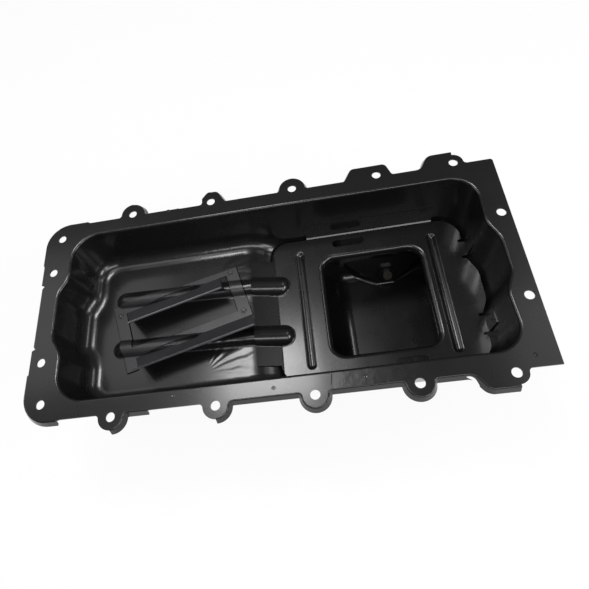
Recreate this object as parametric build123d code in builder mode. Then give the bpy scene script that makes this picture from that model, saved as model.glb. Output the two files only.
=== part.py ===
from build123d import *
import math
import os

# Engine oil pan: a deep-drawn steel pan with a welded windage tray and a
# welded scraper frame. Millimetres. The flange's gasket face is z = 0, the
# origin lies midway between the two middle rail bolts, +X runs to the
# square sump end and the pan hangs down along -Z.

# ---------------------------------------------------------------- sheets
pan_sheet = 1.8
tray_sheet = 1.5
frame_sheet = 1.5
weld_gap = 0.1              # air between sheets that are spot-welded
clear = 10.0                # how far a cutting tool stands past its work

# ---------------------------------------------------------------- bolts
bolt_hole_r = 5.0
rail_bolt_y = 125.5
rail_bolt_pitch = 100.0
sump_end_bolt_x = 187.7     # last bolt of each rail, at the sump end
far_first_bolt_x = -200.0   # first bolt of the far rail
near_first_bolt_x = -210.8  # first bolt of the near rail
corner_bolt = (-291.2, 104.3)
left_bolt = (-297.0, 56.9)
right_bolt = (220.8, 49.9)

# ---------------------------------------------------------------- flange
left_edge_x = -311.7
left_middle_x = -308.9
left_trim_x = -310.0
right_edge_x = 230.0
rail_edge_y = 122.5
far_lip_edge_y = 123.4         # where the far lip is turned down
far_corner_edge_y = 124.9
near_corner_edge_y = 123.7
flange_corner_r = 30.0
end_corner_r = 3.0
far_corner_end_x = -260.0
near_corner_end_x = -271.5
step_run = 4.0
ear_r = 13.4
far_first_ear_r = 14.5
far_middle_ear_r = 15.4
sump_end_ear_r = 11.2
ear_top_y = 140.0
ear_base = 5.0              # how deep an ear starts inside the rail's edge
far_left_ear = (-11.0, -4.0, 8.0, 18.0)      # face, top's ends and foot, from its bolt
far_left_ear_face = 9.0
far_right_ear = (-38.0, -28.0, 12.0, 18.0)   # foot, top's ends and foot, from its bolt
pad_start_x = 150.2
pad_slope_run = 11.0
far_pad_top_y = 141.3
near_pad_top_y = 138.8
ear_root_r = 4.0
pad_root_r = 6.0
sump_end_pad_r = 10.0

# ---------------------------------------------------------------- lip
lip_drop = 7.5
lip_flare = 22.0
lip_bend_r = 1.8
far_lip_gaps = ((far_corner_end_x, far_first_bolt_x), (-143.0, -rail_bolt_pitch))
near_lip_gaps = ((near_corner_end_x, near_first_bolt_x), (-171.5, -rail_bolt_pitch))
lip_end_x = 188.6
left_gap_y = (42.0, 70.0)
flat_inset = 8.0            # a flat stretch, inside and outside the edge
flat_outset = 32.0
notch_y = 39.5
notch_half = 3.2
notch_depth_x = -306.0

# ---------------------------------------------------------------- tub
opening_half = 103.5
opening_left_x = -275.3
opening_bulge_x = -287.3
left_wave_y = (28.0, 47.0)
opening_right_x = 205.2
right_waist_x = 202.2
right_bulge_x = 212.2
right_wave_y = (20.0, 41.5)
left_corner_r = 32.0
right_corner_r = 29.0
wave_r = 28.0
wall_draft = 4.5
near_draft = 8.0
shoulder_r = 3.0
floor_depth = 62.0
sump_depth = 170.0
floor_r = 18.0
ramp_x = -48.0              # where the floor and the ramp would meet
ramp_angle = 48.4
ramp_crest_r = 60.0
ramp_foot_r = 20.0

# ---------------------------------------------------------------- floor ribs
rib_r = 9.5
rib_height = 7.7
rib_y = 33.0
rib_left_x = -240.0
rib_right_x = -57.0
rib_skew = -1.7
rib_root_r = 4.0

# ---------------------------------------------------------------- drain
drain_x = 111.0
recess_left_x = 58.0
recess_nose_x = (103.0, 114.0)
recess_right_x = 162.0
recess_nose_y = 67.0
recess_slope = 50.0
recess_r = 5.0              # where the recess rises from the sump floor
drain_rise = 13.0           # height of the plug's axis over the sump floor
thread_r = 7.0
thread_gap = 0.1
drain_hole_r = 7.6
nut_across = 22.0
nut_thick = 8.0
nut_collar_r = 12.5
nut_chamfer = 1.0
nut_collar_thick = 2.0
plug_head_across = 16.0
plug_head_thick = 6.5
plug_flange_r = 9.6
plug_flange_thick = 1.5
plug_reach = 5.0            # thread that stands out of the nut
gasket_thick = 1.2
gasket_r = 10.4

# ---------------------------------------------------------------- tray
tray_step = 8.0               # tray's top face under the shallow floor
tray_depth = floor_depth + tray_step
tray_left_x = -38.0
tray_edge_gap = 3.5         # between the tray's free edges and the walls
tray_corner_r = 22.0
tray_flange_x = (8.0, 165.0)
tray_flange_rise = 25.0
tray_tabs_y = ((41.0, 60.0), (-58.0, -39.0))
tray_tab_rise = 26.0
tray_notch = 4.0
tray_notch_depth = 7.0
tray_bend_r = 2.5
tongue_angle = 18.0
tongue_left_x = -65.0
tongue_half = 69.5
tongue_bend_r = 6.0
bead_x = (-3.0, 159.5)
bead_half_length = 77.5
bead_width = 10.0
bead_depth = 3.0
bead_root_r = 2.5
window_x = (23.8, 143.5)
window_y = (-65.0, 62.5)
window_r = 15.0
window_bend_r = 6.0
window_lip = 8.0
far_slot = (59.7, 83.2, 40.0, 10.5)      # centre x, centre y, length, width
near_slot = (108.3, -83.2, 37.6, 13.0)
hood_r = 12.8
hood_nose_x = -31.9
hood_nose_sink = 4.0
hood_clearance = 0.4        # above the crest of the rib's end
hood_root_r = 3.0

# ---------------------------------------------------------------- scraper
frame_corner = (-246.0, 28.8)
frame_angle = 14.5
frame_length = 165.0
frame_strap = 15.0
frame_far_edge = (-0.5, -6.2)
frame_vane_line = (-12.8, -76.4)
frame_near_strap = -65.5
frame_tab_end = -91.5
frame_window_end = frame_length - 15.0
vane_rise = 26.5
vane_reach = (29.0, 25.6)
vane_start = 15.3
vane_free_starts = (24.7, 22.8)
vane_ends = (frame_length - 24.0, frame_length - 1.2)
vane_free_ends = (frame_length - 22.1, frame_length + 0.6)


# ---------------------------------------------------------------- profiles
def flange_blank(margin=0.0):
    """Outline of the flange before its lip is turned down."""
    with BuildSketch() as blank:
        with BuildLine():
            Polyline(
                (left_edge_x, far_corner_edge_y),
                (far_corner_end_x, far_corner_edge_y),
                (far_corner_end_x + step_run, rail_edge_y),
                (far_first_bolt_x, rail_edge_y),
                (far_first_bolt_x, far_lip_edge_y),
                (far_lip_gaps[1][0], far_lip_edge_y),
                (far_lip_gaps[1][0] + step_run, rail_edge_y),
                (-rail_bolt_pitch, rail_edge_y),
                (-rail_bolt_pitch, far_lip_edge_y),
                (sump_end_bolt_x, far_lip_edge_y),
                (sump_end_bolt_x, rail_edge_y),
                (right_edge_x, rail_edge_y),
                (right_edge_x, -rail_edge_y),
                (near_corner_end_x + step_run, -rail_edge_y),
                (near_corner_end_x, -near_corner_edge_y),
                (left_edge_x, -near_corner_edge_y),
                (left_edge_x, -notch_y - notch_half),
                (left_middle_x, -notch_y + notch_half),
                (left_middle_x, notch_y - notch_half),
                (left_edge_x, notch_y + notch_half),
                close=True,
            )
        make_face()
        corners = blank.vertices().filter_by(
            lambda v: v.X < left_edge_x + 1 and abs(v.Y) > near_corner_edge_y - 1
        )
        fillet(corners, flange_corner_r)
        fillet(blank.vertices().sort_by_distance((right_edge_x, rail_edge_y))[0], end_corner_r)
        with Locations((far_first_bolt_x, rail_bolt_y)):
            Circle(far_first_ear_r)
        with Locations((0, rail_bolt_y)):
            Circle(far_middle_ear_r)
        with Locations(
            (near_first_bolt_x, -rail_bolt_y),
            (-rail_bolt_pitch, -rail_bolt_y),
            (0, -rail_bolt_y),
            (rail_bolt_pitch, -rail_bolt_y),
        ):
            Circle(ear_r)
        with BuildLine():
            Polyline(
                (far_left_ear[0] - rail_bolt_pitch, rail_edge_y - ear_base),
                (far_left_ear[0] - rail_bolt_pitch, rail_edge_y + far_left_ear_face),
                (far_left_ear[1] - rail_bolt_pitch, ear_top_y),
                (far_left_ear[2] - rail_bolt_pitch, ear_top_y),
                (far_left_ear[3] - rail_bolt_pitch, rail_edge_y),
                (far_left_ear[3] - rail_bolt_pitch, rail_edge_y - ear_base),
                close=True,
            )
        make_face()
        with BuildLine():
            Polyline(
                (far_right_ear[0] + rail_bolt_pitch, rail_edge_y - ear_base),
                (far_right_ear[0] + rail_bolt_pitch, rail_edge_y),
                (far_right_ear[1] + rail_bolt_pitch, ear_top_y),
                (far_right_ear[2] + rail_bolt_pitch, ear_top_y),
                (far_right_ear[3] + rail_bolt_pitch, rail_edge_y),
                (far_right_ear[3] + rail_bolt_pitch, rail_edge_y - ear_base),
                close=True,
            )
        make_face()
        for side, top_y in ((1, far_pad_top_y), (-1, near_pad_top_y)):
            with BuildLine():
                Polyline(
                    (pad_start_x, side * (rail_edge_y - ear_base)),
                    (pad_start_x, side * rail_edge_y),
                    (pad_start_x + pad_slope_run, side * top_y),
                    (lip_end_x, side * top_y),
                    (lip_end_x, side * (rail_edge_y - ear_base)),
                    close=True,
                )
            make_face()
            with Locations((sump_end_bolt_x, side * rail_bolt_y)):
                Circle(sump_end_ear_r)
        roots = blank.vertices().filter_by(
            lambda v: rail_edge_y - 0.01 < abs(v.Y) < far_lip_edge_y + 0.01
            and far_corner_end_x + step_run + 1 < v.X < right_edge_x - end_corner_r - 1
            and abs(v.X - far_lip_gaps[1][0]) > step_run + 1
            and abs(v.X - pad_start_x) > 2
        )
        fillet(roots, ear_root_r)
        shoulders = blank.vertices().filter_by(
            lambda v: abs(v.Y - ear_top_y) < 0.01 and abs(v.X) > far_middle_ear_r + 1
        )
        fillet(shoulders, pad_root_r)
        slopes = blank.vertices().filter_by(
            lambda v: abs(v.X - pad_start_x) < 2
            or (abs(v.X - pad_start_x - pad_slope_run) < 1 and abs(v.Y) > near_pad_top_y - 1)
        )
        fillet(slopes, sump_end_pad_r)
        if margin:
            offset(amount=margin)
    return blank.sketch


def opening(margin=0.0, depth=0.0):
    """Outline of the tub's walls at a depth under the gasket face."""
    inset = depth * math.tan(math.radians(wall_draft)) - margin
    near_inset = depth * math.tan(math.radians(near_draft)) - margin
    narrowing = near_inset - inset
    with BuildSketch() as outline:
        with BuildLine():
            Polyline(
                (opening_left_x, opening_half),
                (opening_right_x, opening_half),
                (right_waist_x, right_wave_y[1]),
                (right_bulge_x, right_wave_y[0]),
                (right_bulge_x, -right_wave_y[0]),
                (right_waist_x, -right_wave_y[1]),
                (opening_right_x, -opening_half),
                (opening_left_x, -opening_half),
                (opening_left_x, -left_wave_y[1]),
                (opening_bulge_x, -left_wave_y[0]),
                (opening_bulge_x, left_wave_y[0]),
                (opening_left_x, left_wave_y[1]),
                close=True,
            )
        make_face()
        if inset:
            offset(amount=-inset, kind=Kind.INTERSECTION)
        with Locations(((opening_left_x + opening_right_x) / 2, near_inset - opening_half)):
            Rectangle(
                2 * (opening_right_x - opening_left_x),
                opening_half,
                align=(Align.CENTER, Align.MAX),
                mode=Mode.SUBTRACT,
            )
        for side, loss in ((1, 0), (-1, narrowing)):
            rail = opening_half - inset - loss
            for end, radius in ((-1, left_corner_r), (1, right_corner_r)):
                corner = outline.vertices().filter_by(
                    lambda v: abs(side * v.Y - rail) < 0.01 and end * v.X > 0
                ).sort_by(Axis.X)[0 if end < 0 else -1]
                fillet(corner, radius + margin - loss)
        crests = outline.vertices().filter_by(
            lambda v: (v.X > 0 and abs(v.Y) < (right_wave_y[0] + right_wave_y[1]) / 2)
            or (v.X < 0 and abs(v.Y) < (left_wave_y[0] + left_wave_y[1]) / 2)
        )
        fillet(crests, wave_r + margin)
        hollows = outline.vertices().filter_by(
            lambda v: (abs(abs(v.Y) - right_wave_y[1]) < 8 and abs(v.X - right_waist_x + inset) < 3)
            or (abs(abs(v.Y) - left_wave_y[1]) < 8 and abs(v.X - opening_left_x - inset) < 1)
        )
        fillet(hollows, wave_r - margin)
    return outline.sketch


def walled_block(margin, depth):
    """Block with the tub's sloping walls, from the gasket face down."""
    with BuildPart() as block:
        with BuildSketch():
            add(opening(margin))
        with BuildSketch(Plane.XY.offset(-depth)):
            add(opening(margin, depth))
        loft(ruled=True)
    return block.part


def ribs(grow=0.0):
    """The two half-round ribs of the shallow floor, as whole round bars."""
    radius = rib_r + grow
    axis_z = -floor_depth + rib_height - rib_r
    bar = rib_right_x - rib_left_x - 2 * rib_r
    with BuildPart() as pair:
        for side in (1, -1):
            pivot = Plane(
                origin=(rib_right_x - rib_r, side * rib_y, axis_z)
            ).rotated((0, 0, rib_skew))
            with Locations(pivot * Location((-bar / 2, 0, 0), (0, 90, 0))):
                Cylinder(radius, bar)
            with Locations(pivot * Location((0, 0, 0)), pivot * Location((-bar, 0, 0))):
                Sphere(radius)
    return pair.part


def rib_roots(edges, floor_z):
    """Edges where the ribs rise from the floor."""
    return edges.filter_by(
        lambda e: rib_left_x - 9 < e.center().X < rib_right_x + 9
        and abs(e.center().Z - floor_z) < 6
        and 12 < abs(e.center().Y) < 52
        and e.bounding_box().size.Y < 40
    )


def recess(grow=0.0):
    """Wedge that the drain recess pushes into the sump."""
    slope = math.radians(recess_slope)
    reach = opening_half + clear
    wall_foot_y = opening_half - sump_depth * math.tan(math.radians(wall_draft))
    left_run = (recess_nose_x[0] - recess_left_x) / (wall_foot_y - recess_nose_y)
    right_run = (recess_right_x - recess_nose_x[1]) / (wall_foot_y - recess_nose_y)
    spread = reach - recess_nose_y
    point = (recess_nose_x[1] - recess_nose_x[0]) / (left_run + right_run)
    with BuildPart() as wedge:
        with BuildSketch(Plane.XY.offset(-sump_depth - 2 * clear)):
            with BuildLine():
                Polyline(
                    (recess_nose_x[0] - left_run * spread, reach),
                    (recess_nose_x[0] + left_run * point, recess_nose_y - point),
                    (recess_nose_x[1] + right_run * spread, reach),
                    close=True,
                )
            make_face()
            if grow:
                offset(amount=grow, kind=Kind.INTERSECTION)
        extrude(amount=sump_depth / 2)
        facet = Plane(
            origin=(drain_x, recess_nose_y, -sump_depth),
            x_dir=(1, 0, 0),
            z_dir=(0, -math.sin(slope), math.cos(slope)),
        ).offset(grow)
        split(bisect_by=facet, keep=Keep.BOTTOM)
    return wedge.part


def tub(grow=0.0):
    """Hollow of the tub; grow moves each of its faces outward."""
    angle = math.radians(ramp_angle)
    shift = grow * math.tan(angle / 2)
    foot_x = ramp_x + (sump_depth - floor_depth) / math.tan(angle)
    deep = sump_depth + 2 * clear
    wide = right_edge_x - left_edge_x
    sump_floor_z = -sump_depth - grow
    with BuildPart() as hollow:
        add(walled_block(grow, deep))
        with BuildSketch(Plane.XZ) as below:
            with BuildLine():
                Polyline(
                    (-wide, -floor_depth - grow),
                    (ramp_x - shift, -floor_depth - grow),
                    (foot_x - shift, sump_floor_z),
                    (wide, sump_floor_z),
                    (wide, -deep - 2 * clear),
                    (-wide, -deep - 2 * clear),
                    close=True,
                )
            make_face()
            crest = below.vertices().sort_by_distance((ramp_x - shift, -floor_depth - grow))
            fillet(crest[0], ramp_crest_r - grow)
            foot = below.vertices().sort_by_distance((foot_x - shift, sump_floor_z))
            fillet(foot[0], ramp_foot_r + grow)
        extrude(amount=wide / 2, both=True, mode=Mode.SUBTRACT)
        bottom = hollow.edges().filter_by(
            lambda e: e.bounding_box().max.Z < -floor_depth + 5
            and e.bounding_box().size.Y < opening_half
        )
        fillet(bottom, floor_r + grow)
        add(ribs(-grow), mode=Mode.SUBTRACT)
        fillet(rib_roots(hollow.edges(), -floor_depth - grow), rib_root_r + grow)
        add(recess(-grow), mode=Mode.SUBTRACT)
        recess_foot = hollow.edges().filter_by(
            lambda e: recess_left_x - recess_r < e.center().X < recess_right_x + recess_r
            and e.bounding_box().min.X < recess_right_x - 0.5
            and e.bounding_box().min.Y > recess_nose_y - 1
            and e.bounding_box().min.Z < sump_floor_z + 1
            and e.bounding_box().size.Z < floor_r
            and (e.bounding_box().size.Y > 1 or e.center().Y < recess_nose_y + recess_r)
        )
        fillet(recess_foot, recess_r + grow)
    return hollow.part


# ---------------------------------------------------------------- drain axis
drain_tilt = math.radians(recess_slope)
drain_y = recess_nose_y + drain_rise / math.tan(drain_tilt)
drain_plane = Plane(
    origin=(drain_x, drain_y, -sump_depth + drain_rise),
    x_dir=(1, 0, 0),
    z_dir=(0, -math.sin(drain_tilt), math.cos(drain_tilt)),
)
bolt_points = [
    (x, side * rail_bolt_y)
    for side in (1, -1)
    for x in (-rail_bolt_pitch, 0, rail_bolt_pitch, sump_end_bolt_x)
]
bolt_points += [(far_first_bolt_x, rail_bolt_y), (near_first_bolt_x, -rail_bolt_y)]
bolt_points += [(x, side * y) for x, y in (corner_bolt, left_bolt, right_bolt) for side in (1, -1)]

# ---------------------------------------------------------------- pan shell
flare = math.radians(lip_flare)
lip_inset = pan_sheet / math.cos(flare) - pan_sheet * math.tan(flare)
with BuildPart() as pan_shell:
    # flange plate with its lip turned down all round
    with BuildSketch():
        add(flange_blank())
    extrude(amount=-lip_drop, taper=-lip_flare)
    fillet(pan_shell.faces().sort_by(Axis.Z)[-1].edges(), lip_bend_r)
    with BuildSketch(Plane.XY.offset(-pan_sheet)):
        add(flange_blank(-lip_inset))
    extrude(amount=-lip_drop, taper=-lip_flare, mode=Mode.SUBTRACT)
    # stretches where the flange stays flat
    with BuildSketch() as flat_zones:
        for gaps, side in ((far_lip_gaps, 1), (near_lip_gaps, -1)):
            for start, end in gaps + ((lip_end_x, right_edge_x + clear),):
                middle_y = rail_edge_y + (flat_outset - flat_inset) / 2
                with Locations(((start + end) / 2, side * middle_y)):
                    Rectangle(end - start, flat_inset + flat_outset)
        with Locations((right_edge_x, 0)):
            Rectangle(2 * flat_inset, 2 * (rail_edge_y + clear))
        for side in (1, -1):
            with Locations((left_edge_x, side * (left_gap_y[0] + left_gap_y[1]) / 2)):
                Rectangle(2 * flat_inset, left_gap_y[1] - left_gap_y[0])
    extrude(flat_zones.sketch, amount=3 * clear, both=True, mode=Mode.SUBTRACT)
    with BuildSketch() as flat_parts:
        add(flange_blank())
        add(flat_zones.sketch, mode=Mode.INTERSECT)
    extrude(flat_parts.sketch, amount=-pan_sheet)
    # tub walls and floors
    add(tub(pan_sheet))
    add(tub(), mode=Mode.SUBTRACT)
    # small trims and relief notches of the left edge
    with BuildSketch() as trims:
        for side in (1, -1):
            with Locations((left_trim_x - clear / 2, side * (left_gap_y[0] + left_gap_y[1]) / 2)):
                Rectangle(clear, left_gap_y[1] - left_gap_y[0])
            with BuildLine():
                Polyline(
                    (left_edge_x - clear, side * (notch_y - notch_half)),
                    (left_middle_x, side * (notch_y - notch_half)),
                    (notch_depth_x, side * notch_y),
                    (left_edge_x, side * (notch_y + notch_half)),
                    (left_edge_x - clear, side * (notch_y + notch_half)),
                    close=True,
                )
            make_face()
    extrude(trims.sketch, amount=3 * clear, both=True, mode=Mode.SUBTRACT)
    # bolt holes and the drain hole
    with BuildSketch() as holes:
        with Locations(*bolt_points):
            Circle(bolt_hole_r)
    extrude(holes.sketch, amount=2 * clear, both=True, mode=Mode.SUBTRACT)
    with BuildSketch(drain_plane) as drain_hole:
        Circle(drain_hole_r)
    extrude(drain_hole.sketch, amount=3 * pan_sheet, both=True, mode=Mode.SUBTRACT)
    # rolled shoulder between the gasket face and the walls
    gasket_face = pan_shell.faces().filter_by(
        lambda f: abs(f.center().Z) < 0.01 and f.area > 10000
    )[0]
    mouth = gasket_face.inner_wires().sort_by(SortBy.LENGTH)[-1]
    fillet(mouth.edges(), shoulder_r)
pan_shell.part.label = "pan_shell"


# ---------------------------------------------------------------- tray
def sheet_block(grow=0.0):
    """Solid under the tray's sheet; grow lowers and shrinks its skin."""
    slope = math.radians(tongue_angle)
    rest = ramp_crest_r + weld_gap + tray_sheet
    crest_x = ramp_x - ramp_crest_r * math.tan(math.radians(ramp_angle / 2))
    crest_z = -floor_depth - ramp_crest_r
    height = crest_x * math.sin(slope) + crest_z * math.cos(slope) + rest + grow
    top = -tray_depth + grow
    bend_x = (height - top * math.cos(slope)) / math.sin(slope)
    start_x = 2 * tongue_left_x
    start_z = (height - start_x * math.sin(slope)) / math.cos(slope)
    base = -tray_depth - window_lip + clear * grow
    nose = (hood_nose_x, -tray_depth - hood_nose_sink)
    crown = -floor_depth + rib_height + hood_clearance + tray_sheet - hood_r
    run = nose[0] - tongue_left_x
    pitch = math.degrees(math.atan2(crown - nose[1], run))
    length = run / math.cos(math.radians(pitch)) + clear
    bead_r = (bead_width**2 / 4 + bead_depth**2) / (2 * bead_depth)
    bead_z = -tray_depth + bead_r - bead_depth
    bead_straight = 2 * bead_half_length - bead_width
    with BuildPart() as block:
        with BuildSketch(Plane.XZ) as profile:
            with BuildLine():
                Polyline(
                    (start_x, start_z),
                    (bend_x, top),
                    (right_edge_x, top),
                    (right_edge_x, base),
                    (start_x, base),
                    close=True,
                )
            make_face()
            bend = profile.vertices().sort_by_distance((bend_x, top))
            fillet(bend[0], tongue_bend_r - grow)
        extrude(amount=rail_edge_y, both=True)
        for side in (1, -1):
            axis = Plane(origin=(nose[0], side * rib_y, nose[1])).rotated((0, pitch, 0))
            with Locations(axis * Location((-length / 2, 0, 0), (0, 90, 0))):
                Cylinder(hood_r + grow, length)
            with Locations(axis.location):
                Sphere(hood_r + grow)
        roots = block.edges().filter_by(
            lambda e: start_x + 5 < e.center().X < hood_nose_x + 20
            and 12 < abs(e.center().Y) < 54
            and e.center().Z > top - 1
            and e.bounding_box().size.Y < 2 * hood_r
            and e.center().Z < crown + hood_r - 5
        )
        fillet(roots, hood_root_r - grow)
        for x in bead_x:
            for side in (1, -1):
                with Locations((x, side * bead_straight / 2, bead_z)):
                    Sphere(bead_r - grow, mode=Mode.SUBTRACT)
            with Locations(Location((x, 0, bead_z), (90, 0, 0))):
                Cylinder(bead_r - grow, bead_straight, mode=Mode.SUBTRACT)
        shoulders = block.edges().filter_by(
            lambda e: abs(e.center().Z - top) < 0.01
            and min(abs(e.center().X - x) for x in bead_x) < bead_width
            and e.bounding_box().size.X < 2 * bead_width
        )
        fillet(shoulders, bead_root_r + grow)
        with BuildSketch(Plane.XY.offset(top)):
            with Locations(((window_x[0] + window_x[1]) / 2, (window_y[0] + window_y[1]) / 2)):
                RectangleRounded(
                    window_x[1] - window_x[0] - 2 * grow,
                    window_y[1] - window_y[0] - 2 * grow,
                    window_r - grow,
                )
        extrude(amount=-3 * window_lip, mode=Mode.SUBTRACT)
        rim = block.edges().filter_by(
            lambda e: abs(e.center().Z - top) < 0.01
            and window_x[0] + grow - 1 < e.center().X < window_x[1] - grow + 1
            and abs(e.center().Y) < bead_half_length - 2
        )
        fillet(rim, window_bend_r + grow)
    return block.part


tray_end_x = right_waist_x - tray_depth * math.tan(math.radians(wall_draft))
with BuildPart() as windage_tray:
    add(sheet_block())
    add(sheet_block(-tray_sheet), mode=Mode.SUBTRACT)
    # plan outline: tongue, plate clear of the walls, strips that reach them
    with BuildSketch() as plan:
        add(opening(-tray_edge_gap, tray_depth))
        with Locations((tray_left_x, 0)):
            Rectangle(
                right_edge_x - left_edge_x,
                2 * rail_edge_y,
                align=(Align.MAX, Align.CENTER),
                mode=Mode.SUBTRACT,
            )
        left = plan.vertices().filter_by(lambda v: v.X < tray_left_x + 1)
        fillet(left, tray_corner_r)
        with Locations((tongue_left_x / 2, 0)):
            Rectangle(-tongue_left_x, 2 * tongue_half)
        with BuildSketch(mode=Mode.PRIVATE) as reach:
            with Locations(((tray_flange_x[0] + tray_flange_x[1]) / 2, 0)):
                Rectangle(tray_flange_x[1] - tray_flange_x[0], 2 * rail_edge_y)
            for low, high in tray_tabs_y:
                with Locations((right_waist_x, (low + high) / 2)):
                    Rectangle(4 * clear, abs(high - low))
        add(reach.sketch)
        with BuildSketch(mode=Mode.PRIVATE) as notches:
            for y in [y for tab in tray_tabs_y for y in (tab[0] - tray_notch / 2, tab[1] + tray_notch / 2)]:
                with Locations((tray_end_x, y)):
                    SlotOverall(2 * tray_notch_depth, tray_notch)
        add(notches.sketch, mode=Mode.SUBTRACT)
    extrude(plan.sketch, amount=sump_depth, both=True, mode=Mode.INTERSECT)
    add(walled_block(-weld_gap, sump_depth), mode=Mode.INTERSECT)
    # flanges turned up against the side walls and tabs against the end wall
    with BuildPart(mode=Mode.PRIVATE) as upstands:
        add(walled_block(-weld_gap, tray_depth + tray_sheet))
        add(walled_block(-weld_gap - tray_sheet, tray_depth + tray_sheet), mode=Mode.SUBTRACT)
        with BuildPart(mode=Mode.PRIVATE) as zones:
            base = -tray_depth - tray_sheet
            with Locations(((tray_flange_x[0] + tray_flange_x[1]) / 2, 0, base)):
                Box(
                    tray_flange_x[1] - tray_flange_x[0],
                    2 * rail_edge_y,
                    tray_flange_rise + tray_sheet,
                    align=(Align.CENTER, Align.CENTER, Align.MIN),
                )
            for low, high in tray_tabs_y:
                with Locations((right_waist_x, (low + high) / 2, base)):
                    Box(
                        4 * clear,
                        abs(high - low),
                        tray_tab_rise + tray_sheet,
                        align=(Align.CENTER, Align.CENTER, Align.MIN),
                    )
        add(zones.part, mode=Mode.INTERSECT)
    add(upstands.part)
    # slots
    with BuildSketch(Plane.XY.offset(-tray_depth)) as slots:
        for x, y, length, width in (far_slot, near_slot):
            with Locations((x, y)):
                SlotOverall(length, width)
    extrude(slots.sketch, amount=3 * tray_sheet, both=True, mode=Mode.SUBTRACT)
windage_tray.part.label = "windage_tray"


# ---------------------------------------------------------------- scraper
def over_floor(grow=0.0):
    """Space over the shallow floor and its ribs, lifted by grow."""
    with BuildPart() as space:
        with Locations((opening_left_x / 2, 0, -floor_depth + grow)):
            Box(
                -opening_left_x,
                2 * opening_half,
                floor_depth - grow,
                align=(Align.CENTER, Align.CENTER, Align.MIN),
            )
        add(ribs(grow), mode=Mode.SUBTRACT)
        fillet(rib_roots(space.edges(), -floor_depth + grow), rib_root_r - grow)
    return space.part


frame_plane = Plane(origin=(*frame_corner, 0)).rotated((0, 0, frame_angle))
strap_z = -floor_depth + weld_gap + frame_sheet
with BuildPart() as frame_layer:
    add(over_floor(weld_gap))
    add(over_floor(weld_gap + frame_sheet), mode=Mode.SUBTRACT)

with BuildPart() as scraper_frame:
    with BuildSketch(frame_plane) as straps:
        with BuildLine():
            Polyline(
                (0.5, frame_far_edge[0]),
                (frame_length, frame_far_edge[1]),
                (frame_length, frame_vane_line[1]),
                (frame_strap, frame_vane_line[1]),
                (frame_strap - 0.5, frame_tab_end),
                (1, frame_tab_end),
                close=True,
            )
        make_face()
        with BuildLine():
            Polyline(
                (frame_strap, frame_vane_line[0]),
                (frame_window_end, frame_vane_line[0]),
                (frame_window_end, frame_near_strap),
                (frame_strap, frame_near_strap),
                close=True,
            )
        make_face(mode=Mode.SUBTRACT)
    extrude(straps.sketch, amount=-sump_depth)
    add(frame_layer.part, mode=Mode.INTERSECT)
    for line, reach, end, free_start, free_end in zip(
        frame_vane_line, vane_reach, vane_ends, vane_free_starts, vane_free_ends
    ):
        width = math.hypot(reach, vane_rise)
        lean = math.degrees(math.atan2(vane_rise, reach))
        root = frame_plane * Location((0, line, strap_z), (180 - lean, 0, 0))
        with BuildPart(mode=Mode.PRIVATE) as vane:
            with BuildSketch(root):
                with BuildLine():
                    Polyline(
                        (vane_start, -frame_sheet / 2),
                        (end, -frame_sheet / 2),
                        (free_end, width),
                        (free_start, width),
                        close=True,
                    )
                make_face()
            extrude(amount=frame_sheet)
            add(over_floor(weld_gap), mode=Mode.INTERSECT)
        add(vane.part)
scraper_frame.part.label = "scraper_frame"


# ---------------------------------------------------------------- drain
with BuildPart() as drain_nut:
    with BuildSketch(drain_plane.offset(weld_gap)):
        Circle(nut_collar_r)
    extrude(amount=nut_collar_thick)
    with BuildSketch(drain_plane.offset(weld_gap)):
        RegularPolygon(nut_across / 2, 6, major_radius=False)
    extrude(amount=nut_thick)
    crown = drain_nut.faces().sort_by_distance(drain_plane.offset(nut_thick + weld_gap).origin)[0]
    chamfer(crown.edges(), nut_chamfer)
    with BuildSketch(drain_plane):
        Circle(thread_r + thread_gap)
    extrude(amount=2 * nut_thick, mode=Mode.SUBTRACT)
drain_nut.part.label = "drain_nut"

gasket_plane = drain_plane.offset(-pan_sheet - weld_gap)
with BuildPart() as drain_gasket:
    with BuildSketch(gasket_plane):
        Circle(gasket_r)
        Circle(thread_r + thread_gap, mode=Mode.SUBTRACT)
    extrude(amount=-gasket_thick)
    rims = drain_gasket.edges().filter_by(GeomType.CIRCLE).group_by(SortBy.RADIUS)[-1]
    chamfer(rims, gasket_thick / 4)
drain_gasket.part.label = "drain_gasket"

head_plane = gasket_plane.offset(-gasket_thick - weld_gap)
with BuildPart() as drain_plug:
    with BuildSketch(head_plane):
        Circle(plug_flange_r)
    extrude(amount=-plug_flange_thick)
    with BuildSketch(head_plane.offset(-plug_flange_thick)):
        RegularPolygon(plug_head_across / 2, 6, major_radius=False)
    extrude(amount=-plug_head_thick)
    top_plane = head_plane.offset(-plug_flange_thick - plug_head_thick)
    top = drain_plug.faces().sort_by_distance(top_plane.origin)[0]
    chamfer(top.edges(), nut_chamfer)
    with BuildSketch(head_plane):
        Circle(thread_r)
    extrude(amount=gasket_thick + pan_sheet + 3 * weld_gap + nut_thick + plug_reach)
    tip = drain_plug.faces().sort_by_distance(drain_plane.offset(nut_thick + plug_reach).origin)[0]
    chamfer(tip.edges(), nut_chamfer)
drain_plug.part.label = "drain_plug"

os.makedirs("parts", exist_ok=True)
export_step(pan_shell.part, "parts/pan_shell.step")
export_step(windage_tray.part, "parts/windage_tray.step")
export_step(scraper_frame.part, "parts/scraper_frame.step")
export_step(drain_nut.part, "parts/drain_nut.step")
export_step(drain_gasket.part, "parts/drain_gasket.step")
export_step(drain_plug.part, "parts/drain_plug.step")
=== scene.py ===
import bpy
import math
from mathutils import Matrix, Vector


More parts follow.
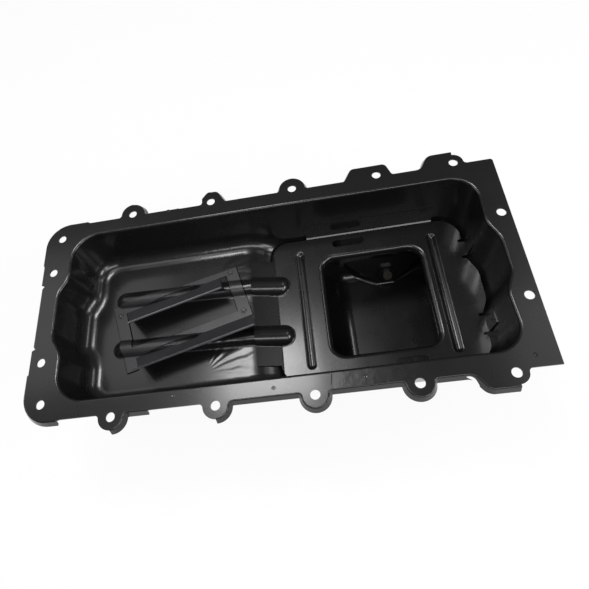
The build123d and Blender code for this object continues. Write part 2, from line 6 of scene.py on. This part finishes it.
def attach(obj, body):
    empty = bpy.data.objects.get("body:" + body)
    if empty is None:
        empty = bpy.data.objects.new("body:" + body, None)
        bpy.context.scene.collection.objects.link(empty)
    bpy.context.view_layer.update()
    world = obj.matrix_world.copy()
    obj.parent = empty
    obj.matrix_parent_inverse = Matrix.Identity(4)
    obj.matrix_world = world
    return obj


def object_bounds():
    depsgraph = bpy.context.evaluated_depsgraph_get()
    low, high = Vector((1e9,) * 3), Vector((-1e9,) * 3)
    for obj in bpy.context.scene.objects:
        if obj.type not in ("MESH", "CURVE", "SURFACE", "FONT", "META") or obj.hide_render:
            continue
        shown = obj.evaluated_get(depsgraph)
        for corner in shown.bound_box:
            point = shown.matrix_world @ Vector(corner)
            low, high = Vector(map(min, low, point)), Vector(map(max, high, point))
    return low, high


# Looks for an engine oil pan: black electro-dipped sheet steel with a welded
# windage tray and scraper frame. Metres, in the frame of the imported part.
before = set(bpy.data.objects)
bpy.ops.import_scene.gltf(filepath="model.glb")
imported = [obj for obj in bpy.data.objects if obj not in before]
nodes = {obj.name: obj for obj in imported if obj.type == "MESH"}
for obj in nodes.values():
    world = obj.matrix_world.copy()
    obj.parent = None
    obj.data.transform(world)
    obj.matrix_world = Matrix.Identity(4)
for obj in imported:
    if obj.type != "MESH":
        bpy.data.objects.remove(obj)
cad_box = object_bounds()
scene = bpy.context.scene
scene.view_settings.view_transform = "Standard"

# ---------------------------------------------------------------- sizes and places
FLOOR_LEVEL = -0.062              # top of the pan's shallow floor
TRAY_TOP = -0.07
TRAY_BEND_X = (0.0082, 0.086, 0.1648)
TRAY_BEND_LOW = Vector((0, -0.0016, 0.0001))    # the facet's edges, from the bend's line
TRAY_BEND_HIGH = Vector((0, 0.0001, 0.0012))
TRAY_PROBE = Vector((0.09, 0, TRAY_TOP + 0.001))

# the scraper frame's own axes start at its far left corner
FRAME_CORNER = Vector((-0.246, 0.0288))
FRAME_TURN = Matrix.Rotation(math.radians(14.5), 2)
STRAP_TOP = -0.0604
STRAP_OUTLINE = [
    (0.1505, -0.0773), (0.1657, -0.0765), (0.1656, -0.0057), (0, 0),
    (0.0004, -0.0921), (0.015, -0.0921), (0.0155, -0.078),
]
STRAP_INSIDE = [(0.0156, -0.0135), (0.0156, -0.0649), (0.1494, -0.0649), (0.1494, -0.0135)]
VANE_RISE = 0.0265
# each vane: name, root line's y, its start and end in x, reach of the lean
VANES = (("far", -0.0128, 0.0228, 0.141, 0.029), ("near", -0.0764, 0.0153, 0.1638, 0.0256))
VANE_EDGE_IN = (0.0009, 0.0003)   # along the lean and up
VANE_EDGE_OUT = (-0.0004, -0.0005)

# painted shade: width and lift of the dark lines laid on the floor along the scraper frame's straps
FRAME_SHADE_WIDTH = 0.0008
FRAME_SHADE_LIFT = 0.00015
# the near rail's crease, drawn as a painted shade line: its points, width and lift
CREASE = [(0.0184, -0.1055), (0.0169, -0.1175)]
CREASE_SHADE_WIDTH = 0.0006
CREASE_SHADE_LIFT = 0.00005

# rings pressed in the sheet, as (radius, height) from the rim to the middle
WELD_PROFILE = [(0.0034, 0.00002), (0.0030, 0.0004), (0.0024, 0.0005), (0.0012, 0.00015), (0.0, 0.00005)]
PUNCH_PROFILE = [(0.0021, 0.00002), (0.0018, 0.00015), (0.0013, 0.0002), (0.0007, 0.00006), (0.0, 0.00004)]
MARKS = {
    "scraper_frame": (WELD_PROFILE, [(-0.2349, 0.0167), (-0.0922, 0.0563), (-0.0776, 0.0021)]),
    "pan_shell": (PUNCH_PROFILE, [
        (-0.1542, 0.1218), (-0.144, -0.111), (-0.0403, -0.1144), (0.0508, -0.1134), (0.2086, -0.1107),
    ]),
}


# ---------------------------------------------------------------- node helpers
def new_material(name):
    mat = bpy.data.materials.new(name)
    mat.use_nodes = True
    tree = mat.node_tree
    tree.nodes.clear()
    out = tree.nodes.new("ShaderNodeOutputMaterial")
    shader = tree.nodes.new("ShaderNodeBsdfPrincipled")
    tree.links.new(shader.outputs[0], out.inputs[0])
    return mat, tree, shader


def place_in(tree, centre=None):
    """Object coordinates, measured from a centre where one is given."""
    place = tree.nodes.new("ShaderNodeTexCoord").outputs["Object"]
    if centre is None:
        return place
    shift = tree.nodes.new("ShaderNodeVectorMath")
    shift.operation = "SUBTRACT"
    shift.inputs[1].default_value = centre
    tree.links.new(place, shift.inputs[0])
    return shift.outputs[0]


def noise(tree, scale, detail=2.0, stretch=(1, 1, 1)):
    mapping = tree.nodes.new("ShaderNodeMapping")
    mapping.inputs["Scale"].default_value = stretch
    tex = tree.nodes.new("ShaderNodeTexNoise")
    tex.inputs["Scale"].default_value = scale
    tex.inputs["Detail"].default_value = detail
    tree.links.new(place_in(tree), mapping.inputs[0])
    tree.links.new(mapping.outputs[0], tex.inputs[0])
    return tex.outputs["Fac"]


def remap(tree, value, low, high, start=0.3, end=0.7):
    node = tree.nodes.new("ShaderNodeMapRange")
    node.inputs["From Min"].default_value = start
    node.inputs["From Max"].default_value = end
    node.inputs["To Min"].default_value = low
    node.inputs["To Max"].default_value = high
    tree.links.new(value, node.inputs["Value"])
    return node.outputs[0]


def combine(tree, operation, a, b=None):
    """Math node on sockets or plain numbers."""
    node = tree.nodes.new("ShaderNodeMath")
    node.operation = operation
    for socket, value in zip(node.inputs, (a, b)):
        if isinstance(value, (int, float)):
            socket.default_value = value
        elif value is not None:
            tree.links.new(value, socket)
    return node.outputs[0]


def near(tree, centre, inner, outer):
    """1 within the inner distance of a point, 0 beyond the outer one."""
    length = tree.nodes.new("ShaderNodeVectorMath")
    length.operation = "LENGTH"
    tree.links.new(place_in(tree, centre), length.inputs[0])
    return remap(tree, length.outputs["Value"], 1, 0, inner, outer)


def fan(tree, centre, count, wobble=5):
    """Waves that run out from a point like the spokes of a wheel."""
    turn = tree.nodes.new("ShaderNodeTexGradient")
    turn.gradient_type = "RADIAL"
    tree.links.new(place_in(tree, centre), turn.inputs[0])
    angle = combine(tree, "MULTIPLY", turn.outputs["Fac"], 2 * math.pi * count)
    drift = combine(tree, "MULTIPLY", noise(tree, 45, 1), wobble)
    return combine(tree, "SINE", combine(tree, "ADD", angle, drift))


def bump(tree, shader, layers):
    """Chain of bumps; each layer is a height, its depth in metres and strength."""
    last = None
    for height, depth, strength in layers:
        node = tree.nodes.new("ShaderNodeBump")
        node.inputs["Strength"].default_value = strength
        node.inputs["Distance"].default_value = depth
        tree.links.new(height, node.inputs["Height"])
        if last:
            tree.links.new(last, node.inputs["Normal"])
        last = node.outputs[0]
    tree.links.new(last, shader.inputs["Normal"])
    tree.links.new(last, shader.inputs["Coat Normal"])


# ---------------------------------------------------------------- materials
SATIN_COAT = (0.5, 0.15)          # weight and roughness of the paint's skin
THIN_COAT = (0.15, 0.2)
GRAIN = (0.00002, 0.25)           # depth and strength of the paint's grain


def black_paint(name, rough, coat, base=0.006):
    """Black dip paint: a satin body under a thin, smoother skin."""
    mat, tree, shader = new_material(name)
    weight, skin = coat
    shader.inputs["Base Color"].default_value = (base, base, base * 1.08, 1)
    shader.inputs["Specular IOR Level"].default_value = 0.5 - 0.5 * weight
    shader.inputs["Coat Weight"].default_value = weight
    shader.inputs["Coat Roughness"].default_value = skin
    tree.links.new(remap(tree, noise(tree, 38, 4), *rough), shader.inputs["Roughness"])
    return mat, tree, shader


def pan_paint():
    """Paint on the drawn shell, with draw wrinkles and a scuffed patch."""
    mat, tree, shader = black_paint("black_paint", (0.26, 0.31), SATIN_COAT)
    wrinkle_zone = near(tree, (-0.085, -0.044, FLOOR_LEVEL), 0.022, 0.042)
    wrinkles = combine(tree, "MULTIPLY", fan(tree, (-0.128, -0.07, 0), 22), wrinkle_zone)
    ripple_zone = near(tree, (-0.07, 0.05, FLOOR_LEVEL), 0.018, 0.036)
    ripples = combine(tree, "MULTIPLY", noise(tree, 90, 1, (0.35, 1, 1)), ripple_zone)
    rail_zone = near(tree, (0.066, -0.118, 0), 0.038, 0.047)
    mottle = combine(tree, "MULTIPLY", noise(tree, 110, 2), rail_zone)
    bump(tree, shader, [
        (noise(tree, 9, 1.5), 0.0006, 1.0),
        (wrinkles, 0.0001, 1.0),
        (mottle, 0.0002, 1.0),
        (ripples, 0.0009, 1.0),
        (noise(tree, 900, 2), *GRAIN),
    ])
    return mat


def tray_paint():
    """Paint on the flat tray, whose sheet waves run along its length."""
    mat, tree, shader = black_paint("black_paint_tray", (0.24, 0.3), SATIN_COAT)
    bump(tree, shader, [
        (noise(tree, 14, 1.5, (1, 0.25, 1)), 0.0004, 1.0),
        (noise(tree, 900, 2), *GRAIN),
    ])
    return mat


def frame_paint(name, base):
    """Duller paint on the scraper frame, on the given base colour; the vanes' lighter copy is painted light.
    """
    mat, tree, shader = black_paint(name, (0.36, 0.44), THIN_COAT, base)
    bump(tree, shader, [(noise(tree, 700, 2), 0.00002, 0.3)])
    return mat


def plain(name, color, rough, metallic=0.0, specular=0.5):
    """Speckled finish of one colour."""
    mat, tree, shader = new_material(name)
    shader.inputs["Metallic"].default_value = metallic
    shader.inputs["Specular IOR Level"].default_value = specular
    tone = tree.nodes.new("ShaderNodeMixRGB")
    tone.inputs[1].default_value = (*[0.7 * c for c in color], 1)
    tone.inputs[2].default_value = (*color, 1)
    tree.links.new(remap(tree, noise(tree, 300, 4), 0, 1), tone.inputs[0])
    tree.links.new(tone.outputs[0], shader.inputs["Base Color"])
    roughness = remap(tree, noise(tree, 500, 3), rough - 0.08, rough + 0.08)
    tree.links.new(roughness, shader.inputs["Roughness"])
    bump(tree, shader, [(noise(tree, 1200, 2), 0.00003, 0.4)])
    return mat


shell_black = pan_paint()
tray_black = tray_paint()
strap_black = frame_paint("black_paint_frame", 0.016)
# the vanes: the frame's paint with a lighter base colour, painted light for the bright floor and fillet they
# reflect
vane_black_painted_light = frame_paint("black_paint_vane_painted_light", 0.036)
zinc = plain("zinc", (0.16, 0.15, 0.12), 0.4, metallic=1.0)
# near-black without sheen for the painted shade lines; the black card in the studio uses it too
shade_black = plain("shade_black", (0.002, 0.002, 0.002), 0.9, specular=0.0)
rubber = plain("seal", (0.02, 0.02, 0.02), 0.7)

for name, mat in {
    "pan_shell": shell_black,
    "windage_tray": tray_black,
    "scraper_frame": strap_black,
    "drain_nut": shell_black,
    "drain_plug": zinc,
    "drain_gasket": rubber,
}.items():
    nodes[name].data.materials.clear()
    nodes[name].data.materials.append(mat)


# ---------------------------------------------------------------- soft edges
def soften(obj, width):
    """Small rounds on the sheet's cut edges and bends, as paint leaves them."""
    weld = obj.modifiers.new("weld", "WELD")
    weld.merge_threshold = 1e-6
    edge = obj.modifiers.new("edge", "BEVEL")
    edge.width = width
    edge.segments = 2
    edge.limit_method = "ANGLE"
    edge.angle_limit = math.radians(38)
    obj.data.polygons.foreach_set("use_smooth", [True] * len(obj.data.polygons))
    shade = obj.modifiers.new("shade", "WEIGHTED_NORMAL")
    shade.keep_sharp = False


soften(nodes["windage_tray"], 0.0006)
soften(nodes["scraper_frame"], 0.0004)


# ---------------------------------------------------------------- small parts
def drop(x, y, name):
    """Where a plumb line at x, y meets a node, and the surface's normal."""
    _, place, normal, _ = nodes[name].ray_cast(Vector((x, y, 0.1)), Vector((0, 0, -1)))
    return place, normal


def on_frame(x, y):
    """Place of a point given in the scraper frame's own axes."""
    return FRAME_CORNER + FRAME_TURN @ Vector((x, y))


def add_piece(name, verts, faces, mat):
    mesh = bpy.data.meshes.new(name)
    mesh.from_pydata(verts, [], faces)
    mesh.update()
    mesh.polygons.foreach_set("use_smooth", [True] * len(faces))
    mesh.materials.append(mat)
    piece = bpy.data.objects.new(name, mesh)
    scene.collection.objects.link(piece)
    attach(piece, "root")
    return piece


def lathe(name, profile, place, axis, mat, turns=28):
    """Round piece from (radius, height) points, standing on a surface."""
    turn = axis.to_track_quat("Z", "Y").to_matrix()
    verts = []
    for r, h in profile:
        for k in range(turns):
            a = 2 * math.pi * k / turns
            verts.append(place + turn @ Vector((r * math.cos(a), r * math.sin(a), h)))
    faces = []
    for ring in range(len(profile) - 1):
        for k in range(turns):
            a = ring * turns + k
            b = ring * turns + (k + 1) % turns
            faces.append((a, b, b + turns, a + turns))
    faces.append(tuple(range(turns))[::-1])
    return add_piece(name, verts, faces, mat)


def ribbon(name, points, width, lift, step, on, mat):
    """Flat strip along a line of x, y points, laid on a node."""
    path = []
    for (x0, y0), (x1, y1) in zip(points, points[1:]):
        count = max(1, round(math.dist((x0, y0), (x1, y1)) / step))
        path += [(x0 + (x1 - x0) * k / count, y0 + (y1 - y0) * k / count) for k in range(count)]
    path.append(points[-1])
    verts = []
    for k, (x, y) in enumerate(path):
        ahead = Vector(path[min(k + 1, len(path) - 1)])
        behind = Vector(path[max(k - 1, 0)])
        along = (ahead - behind).normalized()
        for side in (-0.5, 0.5):
            px = x - along.y * width * side
            py = y + along.x * width * side
            place, normal = drop(px, py, on)
            verts.append(place + normal * lift)
    faces = [(2 * k, 2 * k + 1, 2 * k + 3, 2 * k + 2) for k in range(len(path) - 1)]
    return add_piece(name, verts, faces, mat)


def strip(name, line, side_a, side_b, mat, slot):
    """Flat facet along a line, between two offsets from it."""
    verts = [corner + side for corner in line for side in (side_a, side_b)]
    faces = [(2 * k, 2 * k + 2, 2 * k + 3, 2 * k + 1) for k in range(len(line) - 1)]
    return add_piece(name, verts, faces, mat)


# spot-weld rings on the scraper frame and punch marks on the flange
for name, (profile, points) in MARKS.items():
    for k, (x, y) in enumerate(points):
        place, normal = drop(x, y, name)
        paint = nodes[name].data.materials[0]
        lathe(f"{name}_mark_{k}", profile, place, normal, paint)

# painted shade: dark lines laid on the floor along the scraper frame's straps, and on the near rail along
# its crease
for label, outline in (("outer", STRAP_OUTLINE), ("inner", STRAP_INSIDE)):
    name = f"frame_seam_{label}"
    points = [tuple(on_frame(x, y)) for x, y in outline]
    ribbon(name, points, FRAME_SHADE_WIDTH, FRAME_SHADE_LIFT, 0.002, "pan_shell", shade_black)
ribbon("rail_crease_shade", CREASE, CREASE_SHADE_WIDTH, CREASE_SHADE_LIFT, 0.004, "pan_shell", shade_black)

# pressed bend between the tray and its upturned far flange
_, flange_foot, _, _ = nodes["windage_tray"].ray_cast(TRAY_PROBE, Vector((0, 1, 0)))
line = [Vector((x, flange_foot.y, TRAY_TOP)) for x in TRAY_BEND_X]
strip("tray_bend_far", line, TRAY_BEND_LOW, TRAY_BEND_HIGH, tray_black, "black_paint_tray")


# ---------------------------------------------------------------- vanes
def is_vane(face):
    """Whether a face of the scraper frame belongs to one of the leaning vanes."""
    if face.normal.z >= 0.9 or face.center.z <= STRAP_TOP + 0.001:
        return False
    spot = FRAME_TURN.inverted() @ (face.center.xy - FRAME_CORNER)
    return any(
        start <= spot.x <= end and y - reach - 0.002 < spot.y < y
        for _, y, start, end, reach in VANES
    )


# vane faces take the lighter copy of the frame paint, painted light
nodes["scraper_frame"].data.materials.append(vane_black_painted_light)
for face in nodes["scraper_frame"].data.polygons:
    if is_vane(face):
        face.material_index = 1

# bright cut edge along the top of each vane
for label, y, start, end, reach in VANES:
    line = [Vector((*on_frame(x, y - reach), STRAP_TOP + VANE_RISE)) for x in (start, end)]
    sides = [Vector((*(FRAME_TURN @ Vector((0, along))), up)) for along, up in (VANE_EDGE_IN, VANE_EDGE_OUT)]
    strip(f"vane_edge_{label}", line, *sides, tray_black, "black_paint_tray")

# ---------------------------------------------------------------- camera
FRAME_PX = 589
FOCAL_PX = 496.3
CENTRE_PX = 264.5                 # the optical axis, left of the picture's middle
SENSOR = 36
CAMERA_PLACE = (0.02323, -0.25067, 0.47757)
right = Vector((0.98347, -0.06641, -0.16843))
up = Vector((0.13405, 0.89242, 0.43082))
forward = Vector((-0.12170, 0.44628, -0.88658))
cam = bpy.data.objects.new("camera", bpy.data.cameras.new("camera"))
scene.collection.objects.link(cam)
cam.data.sensor_width = SENSOR
cam.data.lens = SENSOR * FOCAL_PX / FRAME_PX
cam.data.shift_x = (FRAME_PX / 2 - CENTRE_PX) / FRAME_PX
turn = Matrix((right, up, -forward)).transposed().to_4x4()
cam.matrix_world = Matrix.Translation(CAMERA_PLACE) @ turn
scene.camera = cam

# ---------------------------------------------------------------- studio
FLOOR_SIZE = 8
FLOOR_GAP = 0.0002                # under the pan's lowest point
FLOOR_WHITE = 0.86
FLOOR_GLOW = 0.9                  # share of plain white that the camera sees
WORLD_LEVEL = 0.16
DOWN = (0, 0, -1)


def floor_material():
    """White floor that keeps the object's shadow."""
    mat, tree, shader = new_material("floor")
    shader.inputs["Base Color"].default_value = (FLOOR_WHITE, FLOOR_WHITE, FLOOR_WHITE, 1)
    shader.inputs["Roughness"].default_value = 0.9
    glow = tree.nodes.new("ShaderNodeEmission")
    glow.inputs["Color"].default_value = (1, 1, 1, 1)
    path = tree.nodes.new("ShaderNodeLightPath").outputs
    seen = combine(tree, "ADD", path["Is Glossy Ray"], path["Is Transmission Ray"])
    seen = combine(tree, "MINIMUM", combine(tree, "ADD", path["Is Camera Ray"], seen), 1)
    mix = tree.nodes.new("ShaderNodeMixShader")
    tree.links.new(combine(tree, "MULTIPLY", seen, FLOOR_GLOW), mix.inputs[0])
    tree.links.new(shader.outputs[0], mix.inputs[1])
    tree.links.new(glow.outputs[0], mix.inputs[2])
    tree.links.new(mix.outputs[0], tree.nodes["Material Output"].inputs[0])
    return mat


bpy.ops.mesh.primitive_plane_add(size=FLOOR_SIZE, location=(0, 0, cad_box[0][2] - FLOOR_GAP))
floor = bpy.context.object
floor.name = "floor"
floor.data.materials.append(floor_material())

# black card that keeps the middle of the sump floor dark
bpy.ops.mesh.primitive_plane_add(size=1, location=(0.37, 0.7, 1.49))
card = bpy.context.object
card.name = "card"
card.scale = (0.3, 0.6, 1)
card.data.materials.append(shade_black)


def softbox(name, place, size, radiance, facing=DOWN):
    """Rectangular lamp whose face has the given radiance."""
    lamp = bpy.data.objects.new(name, bpy.data.lights.new(name, "AREA"))
    scene.collection.objects.link(lamp)
    lamp.data.shape = "RECTANGLE"
    lamp.data.size, lamp.data.size_y = size
    lamp.data.energy = radiance * math.pi * size[0] * size[1]
    lamp.location = place
    lamp.rotation_euler = Vector(facing).to_track_quat("-Z", "Y").to_euler()
    return lamp


softbox("key", (-0.27, 0.42, 1.5), (0.4, 0.34), 18)
softbox("key_skirt", (-0.22, 0.25, 1.52), (0.7, 0.9), 1.2)
softbox("overhead_near", (-0.5, -0.12, 1.5), (0.95, 0.45), 2)
softbox("near_window", (0.35, -1.0, 1.4), (1.7, 0.4), 7)
softbox("far_right", (1.35, 0.8, 1.5), (0.5, 0.5), 6)
softbox("near_end", (1.2, -1.3, 1.05), (0.8, 0.7), 7, facing=(0, 1, 0))
softbox("side_right", (1.8, -0.6, 1.05), (0.8, 0.7), 11, facing=(-1, 0, 0))
softbox("side_left", (-1.8, 0.4, 1.05), (1.1, 0.7), 3.5, facing=(1, 0, 0))
softbox("ceiling_left", (-1.15, 0.75, 1.5), (0.8, 0.7), 1.3)
softbox("ceiling_right", (1.0, 0.35, 1.5), (0.6, 0.5), 1.2)


def white_world():
    """White to the camera and through glass; a plain low level as light."""
    world = bpy.data.worlds.new("world")
    world.use_nodes = True
    tree = world.node_tree
    backdrop = tree.nodes["Background"]
    backdrop.inputs["Color"].default_value = (1, 1, 1, 1)
    path = tree.nodes.new("ShaderNodeLightPath").outputs
    seen = combine(tree, "MAXIMUM", path["Is Camera Ray"], path["Is Transmission Ray"])
    tree.links.new(remap(tree, seen, WORLD_LEVEL, 1, 0, 1), backdrop.inputs["Strength"])
    return world


scene.world = white_world()
